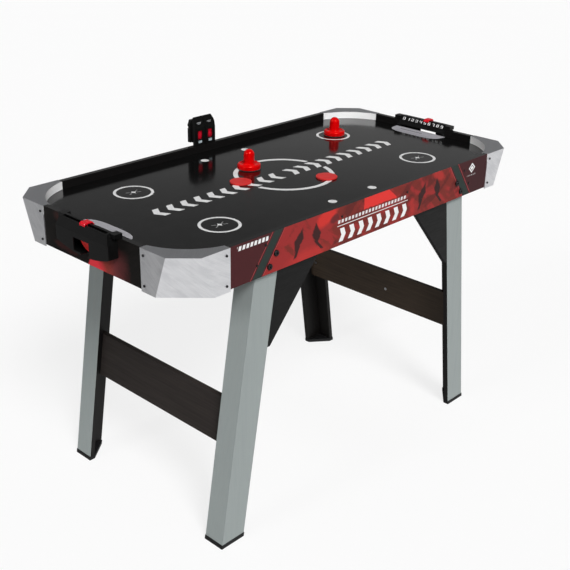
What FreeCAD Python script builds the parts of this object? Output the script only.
import FreeCAD, Part
import math
import os
from FreeCAD import Placement, Rotation, Vector

# Air hockey table. Millimetres, +Z up, X along the table, origin on the floor at the footprint's centre.

# ---- driving dimensions ----
table_length = 1372.0
table_width = 680.0
rail_top = 868.0
board_t = 15.0
apron_height = 107.0
field_drop = 23.0
field_t = 9.0

cap_length = 145.0
cap_proud = 2.5
cap_wall = 2.5
cap_height = 111.0
cap_facet_top = 57.0
cap_facet_bottom = 97.0
cap_arc_end = 18.0
cap_arc_sagitta = 24.0

leg_foot_x = 563.0
leg_splay = 0.157
leg_side_width = 80.0
leg_end_width = 66.0
leg_top = 826.0
foot_height = 12.0
foot_sole = 3.0
foot_proud = 1.2

brace_t = 15.0
brace_tip_z = 548.0
brace_top_z = 792.0
brace_reach_x = 177.0
stretcher_t = 15.0
stretcher_z = 278.0
stretcher_height = 127.0

chamber_length = 1200.0
chamber_width = 500.0
chamber_height = 30.0
chamber_floor_t = 4.0

goal_half = 104.5
goal_shift = 5.5
ridge_half = 94.5
goal_depth = 31.0
goal_floor_low = 798.0
goal_floor_rise = 17.0
goal_front_top = 852.0
goal_wall = 2.5
ridge_top = 879.0
mouth_half = 85.0
mouth_height = 7.0
notch_half = 98.0
notch_bottom = 813.0

puck_r = 31.0
puck_t = 4.5
float_gap = 0.3
pusher_r = 34.5
pusher_height = 59.0
grip_r = 16.2

# ---- derived positions ----
half_l = table_length / 2
half_w = table_width / 2
apron_bottom = rail_top - apron_height
field_top = rail_top - field_drop
field_bottom = field_top - field_t
rail_in_x = half_l - board_t
rail_in_y = half_w - board_t
chamber_bottom = field_bottom - chamber_height
cap_bottom = rail_top - cap_height

parts = {}


# ---- small helpers ----
def box(low, high):
    size = Vector(*high) - Vector(*low)
    return Part.makeBox(size.x, size.y, size.z, Vector(*low))


def centred(cx, cy, cz, lx, ly, lz):
    return Part.makeBox(lx, ly, lz, Vector(cx - lx / 2, cy - ly / 2, cz - lz / 2))


def rod(point, direction, radius, length):
    return Part.makeCylinder(radius, length, Vector(*point), Vector(*direction))


def prism(points, vector):
    wire = Part.makePolygon([Vector(*p) for p in points + points[:1]])
    return Part.Face(wire).extrude(Vector(*vector))


def turned(edges_or_points, centre=(0, 0)):
    """Solid of revolution about a vertical axis from a closed (r, z) outline of points and arcs."""
    edges = []
    last = None
    for item in edges_or_points:
        if len(item) == 2:
            point = Vector(item[0], 0, item[1])
            if last is not None:
                edges.append(Part.makeLine(last, point))
        else:
            mid = Vector(item[0], 0, item[1])
            point = Vector(item[2], 0, item[3])
            edges.append(Part.Arc(last, mid, point).toShape())
        last = point
    face = Part.Face(Part.Wire(edges))
    solid = face.revolve(Vector(0, 0, 0), Vector(0, 0, 1), 360)
    solid.translate(Vector(centre[0], centre[1], 0))
    return solid


def fused(shapes):
    result = shapes[0].fuse(shapes[1:]) if len(shapes) > 1 else shapes[0]
    return result.removeSplitter()


def mirrored(shape, sx, sy):
    """Copy of a shape made in the +X, +Y quarter, moved to the quarter with the given signs."""
    result = shape.copy()
    if sx < 0:
        result = result.mirror(Vector(0, 0, 0), Vector(1, 0, 0))
    if sy < 0:
        result = result.mirror(Vector(0, 0, 0), Vector(0, 1, 0))
    return result


def half_turned(shape):
    """Copy of a shape turned half a turn about the table's vertical centre line."""
    result = shape.copy()
    result.rotate(Vector(0, 0, 0), Vector(0, 0, 1), 180)
    return result


quarters = {"front_left": (-1, -1), "front_right": (1, -1), "back_left": (-1, 1), "back_right": (1, 1)}


# ---- fasteners: pan-head wood screws, made where they sit ----
screw_r = 1.6
screw_hole_r = 1.8
screw_head_r = 3.2
screw_head_t = 1.8
cap_screw_setback = 12.0
cap_screw_z = [rail_top - 17.0, rail_top - 94.0]
field_screw_x = [140.0, 422.0]
field_screw_z = field_top - 4.5
low_screw_x = 451.0
low_screw_z = 795.0

wood_screws = []
screw_holes = []


def add_screw(point, inward, length):
    """One screw: its head stands on the surface at point, and its shank goes inward from there."""
    direction = Vector(*inward)
    head_start = Vector(*point) - direction * screw_head_t
    head = Part.makeCylinder(screw_head_r, screw_head_t, head_start, direction)
    shank = Part.makeCylinder(screw_r, length, Vector(*point), direction)
    wood_screws.append(fused([head, shank]))
    start = Vector(*point) - direction
    screw_holes.append(Part.makeCylinder(screw_hole_r, length + 1.5, start, direction))


for name, (sx, sy) in quarters.items():
    for z in cap_screw_z:
        side_x = sx * (half_l - cap_length + cap_screw_setback)
        end_y = sy * (half_w - cap_length + cap_screw_setback)
        add_screw((side_x, sy * (half_w + cap_proud), z), (0, -sy, 0), 14.0)
        add_screw((sx * (half_l + cap_proud), end_y, z), (-sx, 0, 0), 14.0)
    for x in field_screw_x:
        add_screw((sx * x, sy * half_w, field_screw_z), (0, -sy, 0), 35.0)
    add_screw((sx * low_screw_x, sy * half_w, low_screw_z), (0, -sy, 0), 13.0)
all_screw_holes = Part.makeCompound(screw_holes)
parts["wood_screws"] = Part.makeCompound(wood_screws)

# ---- leg bolts: button-head bolts through the side apron and the leg, each with a nut inside ----
bolt_r = 3.0
bolt_hole_r = 3.3
bolt_head_r = 8.0
bolt_head_t = 5.0
bolt_socket_r = 2.5
bolt_length = 42.0
bolt_spots = [(386.0, 810.0), (409.0, 780.0)]
nut_r = 5.5
nut_t = 5.0
leg_inner_y = rail_in_y - board_t


def bolt_shapes(x, z, sy):
    face = Vector(x, sy * half_w, z)
    inward = Vector(0, -sy, 0)
    head = Part.makeCylinder(bolt_head_r, bolt_head_t, face - inward * bolt_head_t, inward)
    rim = [e for e in head.Edges if e.Curve.TypeId == "Part::GeomCircle"]
    outer = [e for e in rim if abs(e.Curve.Center.y - (face - inward * bolt_head_t).y) < 0.01]
    head = head.makeFillet(1.8, outer)
    socket_start = face - inward * bolt_head_t
    socket = Part.makeCylinder(bolt_socket_r, 3.0, socket_start, inward)
    shank = Part.makeCylinder(bolt_r, bolt_length, face, inward)
    bolt = fused([head.cut(socket), shank])
    hole = Part.makeCylinder(bolt_hole_r, bolt_length + 2, face - inward, inward)
    hexagon = []
    for i in range(6):
        turn = math.radians(60 * i)
        hexagon.append((x + nut_r * math.cos(turn), sy * leg_inner_y, z + nut_r * math.sin(turn)))
    nut = prism(hexagon, (0, -sy * nut_t, 0)).cut(hole)
    return bolt, hole, nut


bolts = []
bolt_holes = []
nuts = []
for name, (sx, sy) in quarters.items():
    for x, z in bolt_spots:
        bolt, hole, nut = bolt_shapes(sx * x, z, sy)
        bolts.append(bolt)
        bolt_holes.append(hole)
        nuts.append(nut)
all_bolt_holes = Part.makeCompound(bolt_holes)
parts["leg_bolts"] = Part.makeCompound(bolts)
parts["leg_bolt_nuts"] = Part.makeCompound(nuts)

# ---- playfield panel: corners clipped to clear the corner caps ----
field_clip = 75.0
clip_x = half_l - field_clip + board_t
clip_y = half_w - field_clip + board_t
outline = [
    (rail_in_x, clip_y, field_bottom), (clip_x, rail_in_y, field_bottom),
    (-clip_x, rail_in_y, field_bottom), (-rail_in_x, clip_y, field_bottom),
    (-rail_in_x, -clip_y, field_bottom), (-clip_x, -rail_in_y, field_bottom),
    (clip_x, -rail_in_y, field_bottom), (rail_in_x, -clip_y, field_bottom),
]
parts["playfield"] = prism(outline, (0, 0, field_t)).cut(all_screw_holes)

# ---- aprons: boards on edge, with lower tongues that run under the corner caps ----
tongue = 40.0
cap_edge_x = half_l - cap_length
cap_edge_y = half_w - cap_length
tongue_top = rail_top - cap_wall

board = box((-cap_edge_x, rail_in_y, apron_bottom), (cap_edge_x, half_w, rail_top))
under = box((-cap_edge_x - tongue, rail_in_y, apron_bottom), (cap_edge_x + tongue, half_w, tongue_top))
side_board = fused([board, under])
parts["side_apron_back"] = side_board.cut([all_screw_holes, all_bolt_holes])
parts["side_apron_front"] = mirrored(side_board, 1, -1).cut([all_screw_holes, all_bolt_holes])

board = box((rail_in_x, -cap_edge_y, apron_bottom), (half_l, cap_edge_y, rail_top))
under = box((rail_in_x, -cap_edge_y - tongue, apron_bottom), (half_l, cap_edge_y + tongue, tongue_top))
notch = box((rail_in_x - 1, -notch_half, notch_bottom), (half_l + 1, notch_half, rail_top + 1))
notch.translate(Vector(0, goal_shift, 0))
end_board = fused([board, under]).cut(notch)
parts["end_apron_right"] = end_board.cut(all_screw_holes)
parts["end_apron_left"] = half_turned(end_board).cut(all_screw_holes)


# ---- corner caps: thin faceted shells with a curved inner wall that the puck rebounds from ----
def facet_cutter(inset):
    """Everything outside the slanted facet of the corner, moved inward by inset along the diagonal."""
    edge_x = half_l + cap_proud
    edge_y = half_w + cap_proud
    root2 = math.sqrt(2)
    top = cap_facet_top / root2 + inset
    low = cap_facet_bottom / root2 + inset
    beyond = (low - top) / cap_height * 20
    width = 150.0
    section = []
    for along, z in ((top - beyond, rail_top + 20), (low + beyond, cap_bottom - 20), (-60, cap_bottom - 20),
                     (-60, rail_top + 20)):
        section.append((edge_x - along / root2 - width / root2, edge_y - along / root2 + width / root2, z))
    return prism(section, (width * root2, -width * root2, 0))


def corner_footprint(outer, inner, arc_shift, z, height):
    """Footprint between two outer walls and the concave inner wall, in the +X, +Y corner."""
    x_out = half_l + outer
    y_out = half_w + outer
    x_end = cap_edge_x - inner
    y_end = cap_edge_y - inner
    start = Vector(x_end, half_w - cap_arc_end + arc_shift, z)
    finish = Vector(half_l - cap_arc_end + arc_shift, y_end, z)
    bulge = cap_arc_sagitta / math.sqrt(2)
    middle = (start + finish) * 0.5 + Vector(bulge, bulge, 0)
    corners = [finish, Vector(x_out, y_end, z), Vector(x_out, y_out, z), Vector(x_end, y_out, z), start]
    edges = [Part.makeLine(a, b) for a, b in zip(corners, corners[1:])]
    edges.append(Part.Arc(start, middle, finish).toShape())
    return Part.Face(Part.Wire(edges)).extrude(Vector(0, 0, height))


outside = corner_footprint(cap_proud, 0, 0, field_top + 0.5, rail_top - field_top - 0.5)
skirt = box((cap_edge_x, cap_edge_y, cap_bottom), (half_l + cap_proud, half_w + cap_proud, field_top + 0.5))
facet_inset = cap_wall * 1.05
room_x = half_l + cap_proud - cap_wall
room_corner = (room_x, half_w + cap_proud - cap_wall, field_top + 0.5)
hollow_low = box((0, 0, cap_bottom - 1), room_corner)
hollow_high = corner_footprint(cap_proud - cap_wall, 1, cap_wall, field_top, rail_top - cap_wall - field_top)
hollow = fused([hollow_low, hollow_high]).cut(facet_cutter(facet_inset))
cap = fused([outside, skirt]).cut(facet_cutter(0)).cut(hollow)
for name, (sx, sy) in quarters.items():
    parts["corner_cap_" + name] = mirrored(cap, sx, sy).cut(all_screw_holes)


# ---- legs: a side panel and an end panel, mitred into an L, leaning out towards the table's end ----
def leaning(points, z_low, z_high):
    """Prism of a leg section; points are (inward x, inward y) from the leg's outer corner."""
    corner_x = leg_foot_x - leg_splay * z_low
    section = [(corner_x - px, rail_in_y - py, z_low) for px, py in points]
    rise = z_high - z_low
    return prism(section, (-leg_splay * rise, 0, rise))


side_section = [(0, 0), (leg_side_width, 0), (leg_side_width, board_t), (board_t, board_t)]
end_section = [(0, 0), (board_t, board_t), (board_t, leg_end_width), (0, leg_end_width)]
foot_section = [
    (-foot_proud, -foot_proud), (leg_side_width + foot_proud, -foot_proud),
    (leg_side_width + foot_proud, board_t + 2), (board_t + 2, leg_end_width + foot_proud),
    (-foot_proud, leg_end_width + foot_proud),
]
leg_side = leaning(side_section, foot_sole, leg_top)
leg_end = leaning(end_section, foot_sole, leg_top)
foot = leaning(foot_section, 0, foot_height).cut([leg_side, leg_end])


# ---- leg braces: triangles beside the leg's inner edge, under the apron ----
def leg_inner_edge(z):
    return leg_foot_x - leg_splay * z - leg_side_width


brace_tip_flat = 9.0
brace_outline = [
    (leg_inner_edge(brace_tip_z), rail_in_y, brace_tip_z),
    (leg_inner_edge(brace_top_z), rail_in_y, brace_top_z),
    (brace_reach_x, rail_in_y, brace_top_z),
    (leg_inner_edge(brace_tip_z) - brace_tip_flat, rail_in_y, brace_tip_z),
]
brace = prism(brace_outline, (0, -brace_t, 0))

for name, (sx, sy) in quarters.items():
    parts["leg_side_panel_" + name] = mirrored(leg_side, sx, sy).cut(all_bolt_holes)
    parts["leg_end_panel_" + name] = mirrored(leg_end, sx, sy)
    parts["foot_cap_" + name] = mirrored(foot, sx, sy)
    parts["leg_brace_" + name] = mirrored(brace, sx, sy)

# ---- stretchers: boards across each pair of legs, inside the end panels ----
stretcher_low_x = leg_foot_x - leg_splay * stretcher_z - board_t
section = [
    (stretcher_low_x, leg_inner_y, stretcher_z), (stretcher_low_x - stretcher_t, leg_inner_y, stretcher_z),
    (stretcher_low_x - stretcher_t, -leg_inner_y, stretcher_z), (stretcher_low_x, -leg_inner_y, stretcher_z),
]
stretcher = prism(section, (-leg_splay * stretcher_height, 0, stretcher_height))
parts["stretcher_right"] = stretcher
parts["stretcher_left"] = half_turned(stretcher)

# Bright screws along the middle of each stretcher's inner face, square to the leaning board.
stretcher_screw_y = [-284.0, -36.0, 284.0]
stretcher_screw_rise = 58.0
stretcher_screw_r = 5.0
inner_normal = Vector(-1, 0, -leg_splay).normalize()
stretcher_screws = []
for y in stretcher_screw_y:
    x = stretcher_low_x - stretcher_t - leg_splay * stretcher_screw_rise
    start = Vector(x, y, stretcher_z + stretcher_screw_rise)
    head = Part.makeCylinder(stretcher_screw_r, 1.8, start, inner_normal)
    stretcher_screws.append(head)
    stretcher_screws.append(mirrored(head, -1, 1))
parts["stretcher_screws"] = Part.makeCompound(stretcher_screws)

# ---- air chamber under the playfield: frame rails and a floor panel with the blower's hole ----
blower_hole_r = 52.0
half_cl = chamber_length / 2
half_cw = chamber_width / 2
long_rail = box((-half_cl, half_cw - board_t, chamber_bottom), (half_cl, half_cw, field_bottom))
rail_half = half_cw - board_t
short_rail = box((half_cl - board_t, -rail_half, chamber_bottom), (half_cl, rail_half, field_bottom))
parts["chamber_long_rails"] = Part.makeCompound([long_rail, mirrored(long_rail, 1, -1)])
parts["chamber_short_rails"] = Part.makeCompound([short_rail, mirrored(short_rail, -1, 1)])
floor_bottom = chamber_bottom - chamber_floor_t
floor = box((-half_cl, -half_cw, floor_bottom), (half_cl, half_cw, chamber_bottom))
blower_hole = rod((0, 0, floor_bottom - 1), (0, 0, 1), blower_hole_r, chamber_floor_t + 2)
parts["chamber_floor"] = floor.cut(blower_hole)

# ---- blower: square housing, motor, impeller and grille ----
blower_half = 62.0
blower_height = 38.0
blower_bore_r = 56.0
hub_plate_r = 21.0
strut_t = 3.0
motor_r = 19.0
motor_height = 16.0
shaft_r = 2.5
hub_r = 24.0
hub_inner_r = 20.5
hub_height = 24.0
blade_tip_r = 54.0
blade_count = 7
blade_pitch = 35.0
blower_top = floor_bottom
blower_bottom = blower_top - blower_height
hub_low = blower_bottom + 5.0
hub_top = hub_low + hub_height
motor_low = blower_bottom + strut_t
motor_top = motor_low + motor_height
hub_disc_t = 6.0

housing = box((-blower_half, -blower_half, blower_bottom), (blower_half, blower_half, blower_top))
housing = housing.cut(rod((0, 0, blower_bottom - 1), (0, 0, 1), blower_bore_r, blower_height + 2))
struts = [rod((0, 0, blower_bottom), (0, 0, 1), hub_plate_r, strut_t)]
for quarter_turn in (45, 135):
    strut = centred(0, 0, blower_bottom + strut_t / 2, 2 * blower_bore_r + 4, 6, strut_t)
    strut.rotate(Vector(0, 0, 0), Vector(0, 0, 1), quarter_turn)
    struts.append(strut)
housing = fused([housing] + struts)

# The rocker switch and the power inlet sit in the thick corners of the housing's front face.
switch_x = 48.0
switch_y = -blower_half + 1.0
switch_z = blower_bottom + 19.0
rocker_r = 6.0
rocker_width = 15.0
rocker_gap = 0.5
pivot_r = 1.2
pivot_hole_r = 1.25
pivot_reach = 2.0
rocker_rest = -12.0
pocket_width = rocker_width + 2 * rocker_gap
pocket_start = (switch_x - pocket_width / 2, switch_y, switch_z)
pocket = rod(pocket_start, (1, 0, 0), rocker_r + rocker_gap, pocket_width)
pocket_length = rocker_width + 2 * rocker_gap + 2 * pivot_reach + 0.4
pivot_hole = rod((switch_x - pocket_length / 2, switch_y, switch_z), (1, 0, 0), pivot_hole_r, pocket_length)
rocker = rod((switch_x - rocker_width / 2, switch_y, switch_z), (1, 0, 0), rocker_r, rocker_width)
front_cut = box((0, switch_y - 20, switch_z - 20), (switch_x * 2, switch_y - 3.6, switch_z + 20))
lower_cut = front_cut.copy()
front_cut.rotate(Vector(switch_x, switch_y, switch_z), Vector(1, 0, 0), 12)
lower_cut.rotate(Vector(switch_x, switch_y, switch_z), Vector(1, 0, 0), -12)
pivot_length = rocker_width + 2 * pivot_reach
pivot = rod((switch_x - pivot_length / 2, switch_y, switch_z), (1, 0, 0), pivot_r, pivot_length)
rocker = fused([rocker.cut([front_cut, lower_cut]), pivot])
rocker.rotate(Vector(switch_x, switch_y, switch_z), Vector(1, 0, 0), rocker_rest)
parts["switch_rocker"] = rocker

inlet_x = -48.0
inlet_r = 5.5
inlet_bore_r = 2.75
inlet_depth = 12.0
inlet_pin_r = 0.9
inlet_flange_r = 7.0
inlet_flange_t = 1.5
face_y = -blower_half
inlet = fused([
    rod((inlet_x, face_y, switch_z), (0, 1, 0), inlet_r, inlet_depth),
    rod((inlet_x, face_y - inlet_flange_t, switch_z), (0, 1, 0), inlet_flange_r, inlet_flange_t),
])
socket_start = (inlet_x, face_y - inlet_flange_t - 1, switch_z)
inlet = inlet.cut(rod(socket_start, (0, 1, 0), inlet_bore_r, inlet_depth))
inlet = fused([inlet, rod((inlet_x, face_y + 1, switch_z), (0, 1, 0), inlet_pin_r, inlet_depth - 1)])
parts["power_inlet"] = inlet
inlet_hole = rod((inlet_x, face_y - 1, switch_z), (0, 1, 0), inlet_r, inlet_depth + 1)
parts["blower_housing"] = housing.cut([pocket, pivot_hole, inlet_hole])

motor = rod((0, 0, motor_low), (0, 0, 1), motor_r, motor_height)
parts["blower_motor"] = fused([motor, rod((0, 0, motor_top), (0, 0, 1), shaft_r, hub_top - motor_top)])

hub = rod((0, 0, hub_low), (0, 0, 1), hub_r, hub_height)
hub = hub.cut(rod((0, 0, hub_low - 1), (0, 0, 1), hub_inner_r, hub_height - hub_disc_t + 1))
blades = []
for i in range(blade_count):
    blade = centred((hub_r + blade_tip_r) / 2 - 0.5, 0, 0, blade_tip_r - hub_r, 24, 1.8)
    blade.rotate(Vector(0, 0, 0), Vector(1, 0, 0), blade_pitch)
    blade.translate(Vector(0, 0, hub_low + 10))
    blade.rotate(Vector(0, 0, 0), Vector(0, 0, 1), 360 / blade_count * i)
    blades.append(blade)
impeller = fused([hub] + blades)
swept = rod((0, 0, hub_low - 10), (0, 0, 1), blade_tip_r, hub_height + 20)
shaft_bore = rod((0, 0, hub_low - 1), (0, 0, 1), shaft_r + 0.05, hub_height + 2)
parts["blower_impeller"] = impeller.common(swept).cut(shaft_bore)

grille_t = 2.5
grille_low = blower_bottom - grille_t
rings = []
for ring_r in (54.0, 44.0, 34.0, 24.0):
    ring = rod((0, 0, grille_low), (0, 0, 1), ring_r, grille_t)
    rings.append(ring.cut(rod((0, 0, grille_low - 1), (0, 0, 1), ring_r - 3, grille_t + 2)))
rings.append(rod((0, 0, grille_low), (0, 0, 1), 14.0, grille_t))
for turn in (0, 60, 120):
    spoke = centred(0, 0, grille_low + grille_t / 2, 106, 3, grille_t)
    spoke.rotate(Vector(0, 0, 0), Vector(0, 0, 1), turn)
    rings.append(spoke)
parts["blower_grille"] = fused(rings)

# ---- goal housings: catch box outside the end apron, digit face and ridge above the mouth ----
face_top_x = rail_in_x + 19.0
face_low_x = rail_in_x + 1.0
face_low_z = field_top + mouth_height
ridge_out_x = rail_in_x + 38.0
lip_top = ridge_top - 2.0
front_x = half_l + goal_depth
post_in = 92.0
post_out = 113.2
post_face_x = rail_in_x + 7.0
rib_y = 90.0
rib_t = 3.0
slot_half = 87.0
slot_width = 8.0
rod_r = 1.5
rod_x = rail_in_x + 31.0
rod_z = ridge_top - 8.0
window_low_y = -33.5
window_high_y = 29.5
window_bottom = 804.0
window_top = 838.5


def goal_section(inset, low_z):
    """Cross-section of the housing across the end of the table, at its widest reach."""
    return [
        (face_low_x, face_low_z), (face_top_x, ridge_top), (ridge_out_x - 10, ridge_top),
        (ridge_out_x, lip_top), (front_x, goal_front_top), (front_x, low_z),
        (rail_in_x + inset, low_z), (rail_in_x + inset, face_low_z),
    ]


def across(points, half_width):
    return prism([(x, -half_width, z) for x, z in points], (0, 2 * half_width, 0))


floor_radius = (goal_half ** 2 + goal_floor_rise ** 2) / (2 * goal_floor_rise)


def above_floor(raise_by):
    """Everything above the catch box's shallow curved floor."""
    radius = floor_radius - raise_by
    return rod((half_l - 60, 0, goal_floor_low + floor_radius), (1, 0, 0), radius, 160)


outer = across(goal_section(0.2, goal_floor_low - 1), goal_half)
outside_board = box((half_l, -200, 700), (half_l + 100, 200, rail_top))
over_board = box((rail_in_x - 20, -200, rail_top), (half_l + 100, 200, 900))
inside_notch = box((rail_in_x - 20, -notch_half, notch_bottom), (half_l + 1, notch_half, rail_top + 1))
catch = fused([
    outer.common(outside_board).common(above_floor(0)),
    outer.common(over_board),
    outer.common(inside_notch),
])
for side in (-1, 1):
    end_taper = [
        (rail_in_x - 20, side * goal_half, goal_front_top), (rail_in_x - 20, side * ridge_half, ridge_top),
        (rail_in_x - 20, side * ridge_half, ridge_top + 10), (rail_in_x - 20, side * 150, ridge_top + 10),
        (rail_in_x - 20, side * 150, goal_front_top),
    ]
    beyond_board = box((half_l, -160, rail_top - 40), (half_l + 100, 160, 900))
    catch = catch.cut(prism(end_taper, (150, 0, 0)).common(fused([beyond_board, over_board])))
posts = []
for side in (-1, 1):
    low_y = min(side * post_in, side * post_out)
    high_y = low_y + post_out - post_in
    posts.append(box((post_face_x, low_y, rail_top), (ridge_out_x - 8, high_y, ridge_top)))
catch = fused([catch] + posts)

slope = Vector(face_top_x - face_low_x, 0, ridge_top - face_low_z).normalize()
slope_normal = Vector(-slope.z, 0, slope.x)
hollow_points = [
    (face_low_x + 3.0, face_low_z), (face_top_x + 1.5, ridge_top - goal_wall),
    (ridge_out_x - goal_wall, lip_top - goal_wall), (front_x - goal_wall, goal_front_top - 1.2),
    (front_x - goal_wall, goal_floor_low), (rail_in_x + goal_wall, goal_floor_low),
    (rail_in_x + goal_wall, face_low_z),
]
cavity = across(hollow_points, rib_y + rib_t)
inner_part = box((half_l + 0.01, -200, 700), (half_l + 100, 200, 900)).common(above_floor(goal_wall))
notch_part = box((rail_in_x, -200, notch_bottom + goal_wall), (half_l + 0.02, 200, 900))
cavity = fused([cavity.common(inner_part), cavity.common(notch_part)])
mouth = box((rail_in_x - 5, -mouth_half, field_top), (rail_in_x + 6, mouth_half, face_low_z))
slot_low_x = rod_x - slot_width / 2
slot = box((slot_low_x, -slot_half, ridge_top - 6), (slot_low_x + slot_width, slot_half, ridge_top + 1))
window = box((front_x - 6, window_low_y, window_bottom), (front_x + 1, window_high_y, window_top))
cut_low = (front_x - 20, window_low_y + 27, goal_floor_low - 2)
floor_cut = box(cut_low, (front_x + 1, window_high_y - 5, window_top - 20))
ribs = []
for side in (-1, 1):
    low_y = side * rib_y - (0 if side > 0 else rib_t)
    rib_points = [
        (face_top_x + 2, ridge_top - 1), (ridge_out_x - 1, lip_top - 1), (ridge_out_x + 1, rod_z - 5),
        (face_top_x - 2, rod_z - 5),
    ]
    rib = across(rib_points, rib_t / 2)
    rib.translate(Vector(0, low_y + rib_t / 2, 0))
    ribs.append(rib)
rod_hole = rod((rod_x, -rib_y - rib_t, rod_z), (0, 1, 0), rod_r, 2 * (rib_y + rib_t))
goal = fused([catch.cut([cavity, mouth]), ribs[0], ribs[1]])
goal = goal.cut([slot, window, floor_cut, rod_hole])

front_edges = []
for edge in goal.Edges:
    points = [v.Point for v in edge.Vertexes]
    on_corner = [abs(p.x - front_x) < 0.01 and abs(abs(p.y) - goal_half) < 0.01 for p in points]
    if len(points) == 2 and all(on_corner):
        front_edges.append(edge)
goal = goal.makeFillet(2.2, front_edges)
goal.translate(Vector(0, goal_shift, 0))
parts["goal_housing_right"] = goal
parts["goal_housing_left"] = half_turned(goal)

score_rod = rod((rod_x, goal_shift - rib_y - rib_t, rod_z), (0, 1, 0), rod_r, 2 * (rib_y + rib_t))
parts["score_rods"] = Part.makeCompound([score_rod, half_turned(score_rod)])

# Digit strip on the slanted face, thin and proud of it.
strip_half = 86.0
strip_top = 3.0
strip_bottom = 17.0
strip_t = 1.0
top_corner = Vector(face_top_x, 0, ridge_top)
strip_points = []
for along, out in ((strip_top, 0), (strip_bottom, 0), (strip_bottom, strip_t), (strip_top, strip_t)):
    corner = top_corner - slope * along + slope_normal * out
    strip_points.append((corner.x, corner.z))
strip = across(strip_points, strip_half)
strip.translate(Vector(0, goal_shift, 0))
parts["score_strips"] = Part.makeCompound([strip, half_turned(strip)])

# Score knobs: a saddle over the ridge, hanging down on both sides, on a slotted stem bored for the rod.
knob_width = 20.5
knob_lift = 0.7
knob_top = ridge_top + 4.8
knob_out_x = ridge_out_x + 3.6
skirt_gap = 1.6
skirt_t = 2.4
skirt_drop = 7.0
stem_width = 6.6
stem_length = 10.0
running_gap = 0.06
knob_right_y = -6.0
knob_left_y = -7.0
skirt_in = top_corner + slope_normal * skirt_gap
skirt_out = top_corner + slope_normal * (skirt_gap + skirt_t)
skirt_low_in = skirt_in - slope * skirt_drop
skirt_low_out = skirt_out - slope * (skirt_drop - 1.6)
knob_outline = [
    (skirt_low_in.x, skirt_low_in.z), (skirt_low_out.x, skirt_low_out.z),
    (skirt_out.x, skirt_out.z), (face_top_x - 0.5, knob_top),
    (ridge_out_x - 0.5, knob_top), (knob_out_x, knob_top - 3.2), (knob_out_x, lip_top - 2.2),
    (knob_out_x - 1.8, lip_top - 2.2), (ridge_out_x + 0.9, lip_top + 1.0),
    (ridge_out_x - 9.6, ridge_top + knob_lift), (skirt_in.x + 0.4, ridge_top + knob_lift),
]
knob_cap = across(knob_outline, knob_width / 2)
knob_end_edges = []
for edge in knob_cap.Edges:
    points = [v.Point for v in edge.Vertexes]
    on_end = all(abs(abs(p.y) - knob_width / 2) < 0.01 for p in points)
    if on_end and min(p.z for p in points) > knob_top - 4.0 and points[0].y * points[1].y > 0:
        knob_end_edges.append(edge)
knob_cap = knob_cap.makeChamfer(1.2, knob_end_edges)
stem_low = rod_z - 4.0
stem_half = stem_width / 2
stem_corner = (rod_x + stem_half, stem_length / 2, ridge_top + 2)
stem = box((rod_x - stem_half, -stem_length / 2, stem_low), stem_corner)
bore = rod((rod_x, -stem_length, rod_z), (0, 1, 0), rod_r + running_gap, 2 * stem_length)
knob = fused([knob_cap, stem]).cut(bore)
left_knob = half_turned(knob)
knob.translate(Vector(0, knob_right_y, 0))
left_knob.translate(Vector(0, knob_left_y, 0))
parts["score_knob_right"] = knob
parts["score_knob_left"] = left_knob

# ---- electronic scorer: front shell on the back rail, deeper shell behind it, clamped to the apron ----
scorer_x = -6.2
scorer_half = 42.0
scorer_back_half = 48.5
scorer_front_y = 331.0
scorer_split_y = 346.0
scorer_back_y = 357.0
scorer_top = 952.5
scorer_bend_z = 915.0
scorer_lean = 11.0
scorer_groove = 3.0
shell_t = 2.2
shoulder_x = 6.0
shoulder_z = 14.0
notch_z = 923.0
display_offset = 20.7
display_z = 898.0
display_w = 17.0
display_h = 26.0
key_z = 877.0
key_w = 12.0
key_h = 7.0
key_gap = 0.4
key_rim = 1.6
circuit_t = 1.6
circuit_y = 337.2
circuit_top = 925.0
post_r = 2.5
back_low = rail_top + 8.0
back_high = scorer_top - 7.0
room_y = scorer_front_y + shell_t


def scorer_outline(half, y, low_z, high_z):
    """Upright outline with cut-off upper corners, half wide to each side of the scorer's middle."""
    left = scorer_x - half
    right = scorer_x + half
    return [
        (left, y, low_z), (right, y, low_z), (right, y, high_z - shoulder_z),
        (right - shoulder_x, y, high_z), (left + shoulder_x, y, high_z), (left, y, high_z - shoulder_z),
    ]


def scorer_block(half, inset, y_from, y_to, low_z, high_z):
    outline = scorer_outline(half - inset, y_from, low_z + inset, high_z - inset)
    return prism(outline, (0, y_to - y_from, 0))


def in_front_profile(inset):
    """Side profile of the front shell: upright, then leaning back to a bevelled top edge."""
    front = scorer_front_y + inset
    bend = scorer_bend_z
    points = [
        (front, rail_top - 1), (front, bend), (front + scorer_lean * 0.25, bend + 16),
        (front + scorer_lean, scorer_top - 5), (front + scorer_lean + 3, scorer_top + 1),
        (scorer_split_y + 1, scorer_top + 1), (scorer_split_y + 1, back_low),
        (half_w, back_low), (half_w, rail_top - 1),
    ]
    return prism([(scorer_x - 80, y, z) for y, z in points], (160, 0, 0))


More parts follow.
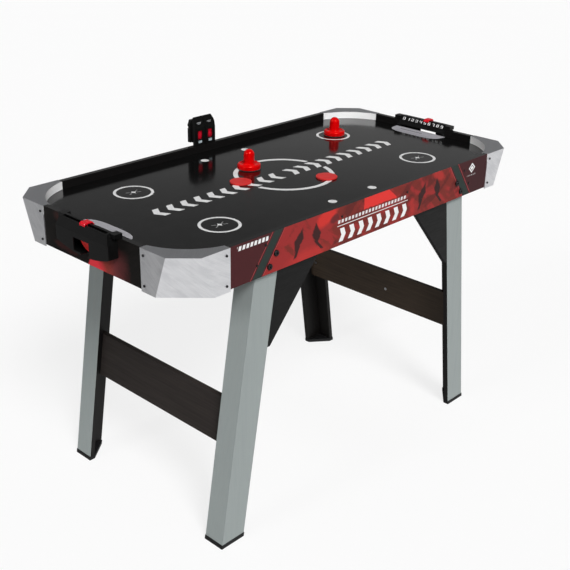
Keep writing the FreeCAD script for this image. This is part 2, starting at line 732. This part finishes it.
front_shell = scorer_block(scorer_half, 0, scorer_front_y, scorer_split_y, rail_top, scorer_top)
front_shell = front_shell.common(in_front_profile(0))
front_room = scorer_block(scorer_half, shell_t, room_y, scorer_split_y + 1, back_low, scorer_top)
low_room = scorer_block(scorer_half, shell_t, room_y, circuit_y + circuit_t, rail_top, scorer_top)
front_shell = front_shell.cut(fused([front_room, low_room]).common(in_front_profile(shell_t)))
groove = centred(scorer_x, scorer_front_y, 910.0, scorer_groove, 2.4, 100.0)
slanted_groove = prism([
    (scorer_x - scorer_groove / 2, scorer_front_y - 1, scorer_bend_z),
    (scorer_x - scorer_groove / 2, scorer_front_y + 1.2, scorer_bend_z),
    (scorer_x - scorer_groove / 2, scorer_front_y + scorer_lean + 1.2, scorer_top - 5),
    (scorer_x - scorer_groove / 2, scorer_front_y + scorer_lean - 1, scorer_top + 2),
], (scorer_groove, 0, 0))
front_shell = front_shell.cut([groove, slanted_groove])

back_shell = scorer_block(scorer_back_half, 0, scorer_split_y, scorer_back_y, back_low, back_high)
room_end_y = scorer_back_y - shell_t
back_room = scorer_block(scorer_half, shell_t, scorer_split_y - 1, room_end_y, back_low, back_high)
back_shell = back_shell.cut(back_room)
for side in (-1, 1):
    edge_x = scorer_x + side * scorer_back_half
    back_shell = back_shell.cut(centred(edge_x, scorer_split_y + 5, notch_z, 4, 14, 6))
parts["scorer_back_shell"] = back_shell

openings = []
lenses = []
for side, key_name in ((-1, "scorer_key_left"), (1, "scorer_key_right")):
    x = scorer_x + side * display_offset
    openings.append(centred(x, scorer_front_y, display_z, display_w, 2 * shell_t + 1, display_h))
    lenses.append(centred(x, scorer_front_y + 1.5, display_z, display_w, 1.2, display_h))
    hole_w = key_w + 2 * key_gap
    hole_h = key_h + 2 * key_gap
    openings.append(centred(x, scorer_front_y, key_z, hole_w, 2 * shell_t + 1, hole_h))
    face_low = (x - key_w / 2, scorer_front_y - 1.7, key_z - key_h / 2)
    face_high = (x + key_w / 2, room_y + 1.3, key_z + key_h / 2)
    rim_low = (x - key_w / 2 - key_rim, room_y + 0.1, key_z - key_h / 2)
    rim_high = (x + key_w / 2 + key_rim, room_y + 1.3, key_z + key_h / 2)
    parts[key_name] = fused([box(face_low, face_high), box(rim_low, rim_high)])

posts = []
for x in (scorer_x - 34, scorer_x + 34):
    for z in (rail_top + 20, scorer_bend_z - 5):
        posts.append(rod((x, scorer_front_y + 1, z), (0, 1, 0), post_r, circuit_y - scorer_front_y - 1))
parts["scorer_front_shell"] = fused([front_shell.cut(openings)] + posts)
parts["scorer_lenses"] = Part.makeCompound(lenses)

circuit = box((scorer_x - 38, circuit_y, rail_top + 3), (scorer_x + 38, circuit_y + circuit_t, circuit_top))
parts["scorer_circuit_board"] = circuit

clamp_half = 30.0
clamp_t = 3.0
clamp_drop = 34.0
clamp_low = (scorer_x - clamp_half, half_w, rail_top - clamp_drop)
clamp = box(clamp_low, (scorer_x + clamp_half, half_w + clamp_t, back_low))
clamp_knob = rod((scorer_x, half_w + clamp_t, rail_top - 20.0), (0, 1, 0), 8.0, 7.0)
parts["scorer_clamp"] = fused([clamp, clamp_knob])


# ---- pushers and pucks ----
felt_t = 1.5
pad_bottom = field_top + float_gap
pusher_low = pad_bottom + felt_t
pusher_top = field_top + pusher_height
shell = 2.5


def pusher_body(x, y):
    brim = pusher_low + 8.6
    top_of_brim = pusher_low + 15.0
    valley_r = 22.0
    valley = pusher_low + 11.5
    neck = pusher_low + 16.0
    dome = pusher_top - grip_r
    diagonal = grip_r / math.sqrt(2)
    inner = grip_r - shell
    inner_diagonal = inner / math.sqrt(2)
    outline = [
        (pusher_r - shell - 1, pusher_low), (pusher_r - 1.2, pusher_low), (pusher_r, pusher_low + 1.2),
        (pusher_r, brim), (pusher_r - 1.6, top_of_brim - 1.8, pusher_r - 5.0, top_of_brim),
        (pusher_r - 8.5, valley + 1.2, valley_r, valley),
        (grip_r + 1.6, valley + 1.4, grip_r, neck), (grip_r, dome),
        (diagonal, dome + diagonal, 0, pusher_top), (0, pusher_top - shell),
        (inner_diagonal, dome + inner_diagonal, inner, dome), (inner, valley - shell),
        (pusher_r - shell - 1, valley - shell), (pusher_r - shell - 1, pusher_low),
    ]
    return turned(outline, (x, y))


def felt_pad(x, y):
    return Part.makeCylinder(pusher_r - 1.0, felt_t, Vector(x, y, pad_bottom))


def puck_shape(x, y):
    disc = Part.makeCylinder(puck_r, puck_t, Vector(x, y, pad_bottom))
    return disc.makeFillet(0.9, [e for e in disc.Edges if e.Curve.TypeId == "Part::GeomCircle"])


pusher_spots = {"pusher_left": (-37.0, 107.0), "pusher_right": (424.0, 174.0)}
for name, (x, y) in pusher_spots.items():
    parts[name] = pusher_body(x, y)
    parts[name + "_felt"] = felt_pad(x, y)
parts["puck_left"] = puck_shape(-146.0, 30.0)
parts["puck_right"] = puck_shape(65.0, -107.0)

# The third puck stands on edge in the left goal's catch box, leaning out.
goal_puck = Part.makeCylinder(puck_r, puck_t, Vector(0, 0, -puck_t / 2))
goal_puck = goal_puck.makeFillet(0.9, [e for e in goal_puck.Edges if e.Curve.TypeId == "Part::GeomCircle"])
goal_puck.Placement = Placement(Vector(-half_l - 15.5, -13.0, 835.0), Rotation(Vector(0, 1, 0), 80))
parts["puck_in_goal"] = goal_puck

# ---- write one file per piece ----
os.makedirs("parts", exist_ok=True)
for name, shape in parts.items():
    shape.exportStep("parts/" + name + ".step")
print(len(parts), "pieces")
